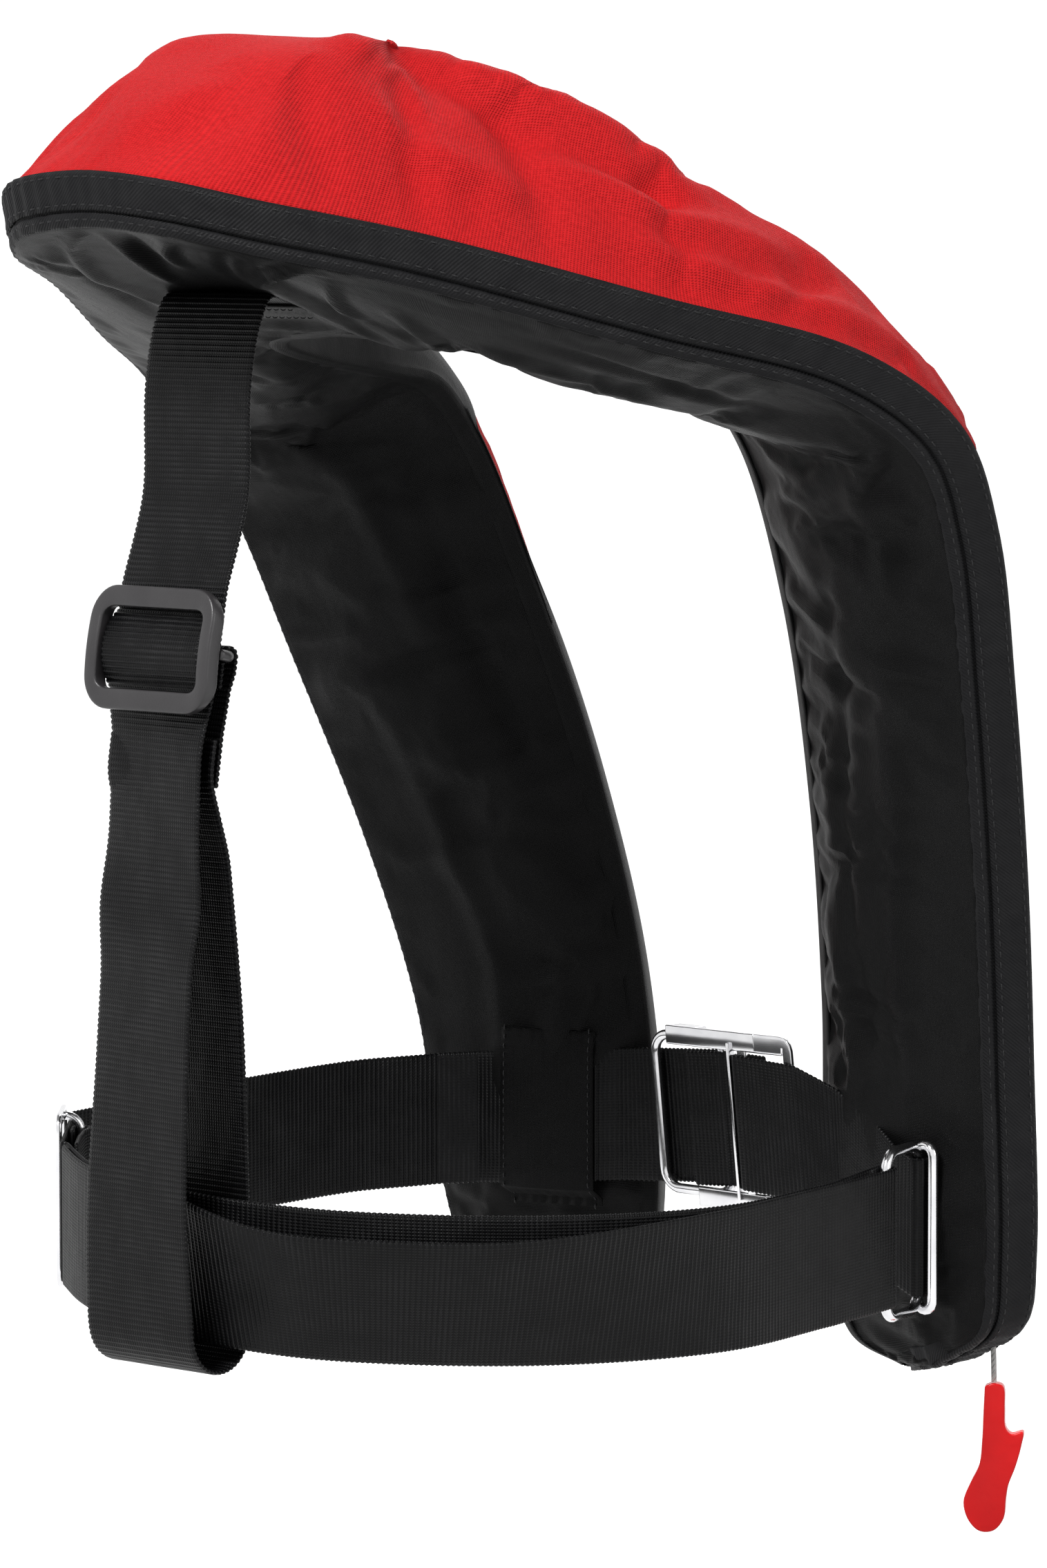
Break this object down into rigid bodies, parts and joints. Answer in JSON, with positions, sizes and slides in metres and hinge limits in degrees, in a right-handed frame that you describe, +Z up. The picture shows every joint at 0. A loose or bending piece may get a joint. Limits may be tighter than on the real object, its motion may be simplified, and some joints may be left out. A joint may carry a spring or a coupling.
{
  "type": "inflatable_life_jacket",
  "caption": "Inflatable life jacket, packed: red cover, black lining, black webbing waist belt with steel hook buckle and rings, back strap with slider, red pull tab on a cord.",
  "frame": {"origin": "where the collar rests on the nape of the neck", "axes": "+Z up with the jacket worn upright, the wearer looks along -Y, the wearer's left is +X"},
  "size_m": [0.3708, 0.3649, 0.5274],
  "materials": {
    "red_cloth": "woven polyester, soft sheen",
    "lining_cloth": "smooth black nylon",
    "bladder_cloth": "coated yellow nylon",
    "edge_tape": "black binding tape with stitching",
    "webbing": "ribbed black webbing",
    "black_plastic": "satin moulded",
    "grey_plastic": "satin moulded",
    "pale_plastic": "satin moulded",
    "green_plastic": "satin moulded",
    "orange_plastic": "moulded",
    "red_plastic": "moulded",
    "polished_steel": "polished stainless",
    "spring_steel": "drawn wire",
    "cylinder_steel": "plated",
    "brass_metal": "turned",
    "cord": "braided white cord",
    "tube_rubber": "matte"
  },
  "bodies": {
    "jacket": {"cover_shell": "red_cloth", "lining_panel": "lining_cloth", "bladder": "bladder_cloth", "neck_band": "lining_cloth", "cover_edge_tape": "edge_tape", "side_closure": "edge_tape", "lining_edge_tape": "edge_tape", "back_strap": "webbing", "back_strap_patch": "lining_cloth", "waist_belt": "webbing", "belt_keeper": "lining_cloth", "buckle_ring": "polished_steel", "belt_ring": "polished_steel", "front_strap": "webbing", "inflator_body": "black_plastic", "lever_pivot_pin": "polished_steel", "pin_spring": "spring_steel", "gas_cylinder": "cylinder_steel", "bladder_manifold": "black_plastic", "manifold_nut": "black_plastic", "water_cartridge": "pale_plastic", "cartridge_cap": "green_plastic", "status_clip": "green_plastic", "oral_tube": "tube_rubber", "whistle": "orange_plastic"},
    "pull_handle": {"pull_cord": "cord", "pull_tab": "red_plastic"},
    "lever": {"firing_lever": "grey_plastic"},
    "pin": {"firing_pin": "brass_metal"},
    "back_slider": {"back_strap_slider": "black_plastic", "back_strap_end": "webbing"},
    "belt_slider": {"waist_belt_slider": "polished_steel", "waist_belt_end": "webbing"},
    "hook_plate": {"buckle_hook_plate": "polished_steel"},
    "cap": {"oral_cap": "red_plastic"},
    "valve": {"oral_valve": "pale_plastic"}
  },
  "joints": [
    {"name": "tab_pull", "type": "slide", "parent": "jacket", "child": "pull_handle", "axis": [0, 0, -1], "range_m": [0, 0.016]},
    {"name": "lever_pull", "type": "hinge", "parent": "jacket", "child": "lever", "pos_m": [-0.09911, -0.22315, -0.30773], "axis": [-0.1279, -0.9783, 0.1633], "range_deg": [0, 38.1]},
    {"name": "pin_travel", "type": "slide", "parent": "jacket", "child": "pin", "axis": [-0.0917, 0.1756, 0.9802], "range_m": [0, 0.0036], "deforming": ["pin_spring"]},
    {"name": "back_slider_slide", "type": "slide", "parent": "jacket", "child": "back_slider", "axis": [0, 0.1701, -0.9854], "range_m": [-0.012, 0.012]},
    {"name": "belt_slider_slide", "type": "slide", "parent": "jacket", "child": "belt_slider", "axis": [-0.6691, 0.7431, 0], "range_m": [-0.012, 0.012]},
    {"name": "hook_plate_swing", "type": "hinge", "parent": "jacket", "child": "hook_plate", "pos_m": [-0.017, -0.2014, -0.2878], "axis": [0, 0, 1], "range_deg": [0, 60]},
    {"name": "oral_cap_pull", "type": "slide", "parent": "jacket", "child": "cap", "axis": [0.1304, 0.2643, 0.9556], "range_m": [0, 0.015]},
    {"name": "oral_valve_press", "type": "slide", "parent": "jacket", "child": "valve", "axis": [-0.1304, -0.2643, -0.9556], "range_m": [0, 0.003], "stiffness_N_per_m": 200}
  ],
  "couplings": [
    {"joint": "lever_pull", "follows": "tab_pull", "rad_per_m": 41.55},
    {"joint": "pin_travel", "follows": "tab_pull", "ratio": 0.2238}
  ]
}
